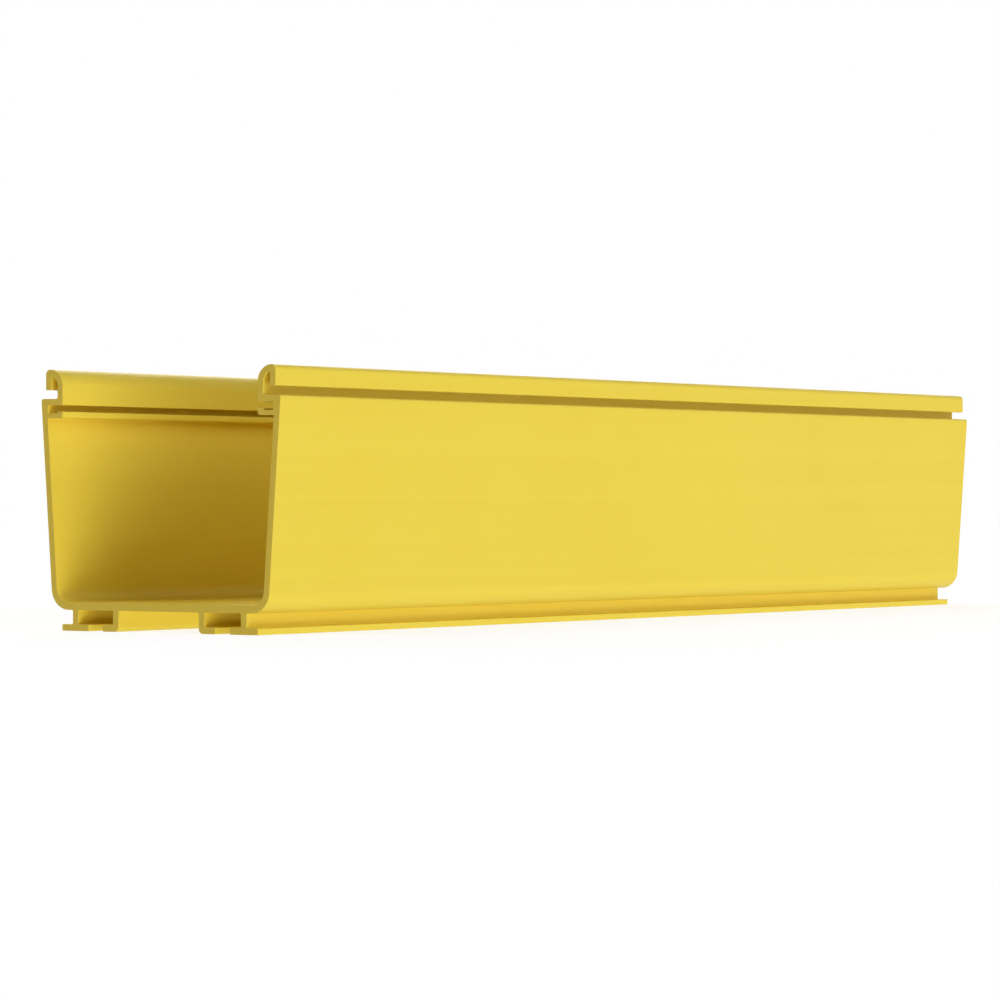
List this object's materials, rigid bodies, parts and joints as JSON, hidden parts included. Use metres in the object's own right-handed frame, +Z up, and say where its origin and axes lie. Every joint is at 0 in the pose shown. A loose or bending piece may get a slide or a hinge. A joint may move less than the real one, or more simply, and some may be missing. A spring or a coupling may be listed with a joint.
{
  "type": "fibre optic raceway",
  "caption": "Straight length of yellow plastic fibre raceway: an open U-shaped trough with hooked wall tops for a clip-over cover and slotted rails under its floor.",
  "frame": {"origin": "on the underside of the rails, on the centre plane, half way along the length", "axes": "+Y along the length, from the end nearest the viewer in the picture to the far end; +X across, towards the wall whose outer side the picture shows; +Z up, towards the open mouth"},
  "size_m": [0.1324, 0.6096, 0.114],
  "materials": {
    "yellow_pvc": "satin"
  },
  "bodies": {
    "root": {"raceway_channel": "yellow_pvc"}
  },
  "joints": []
}
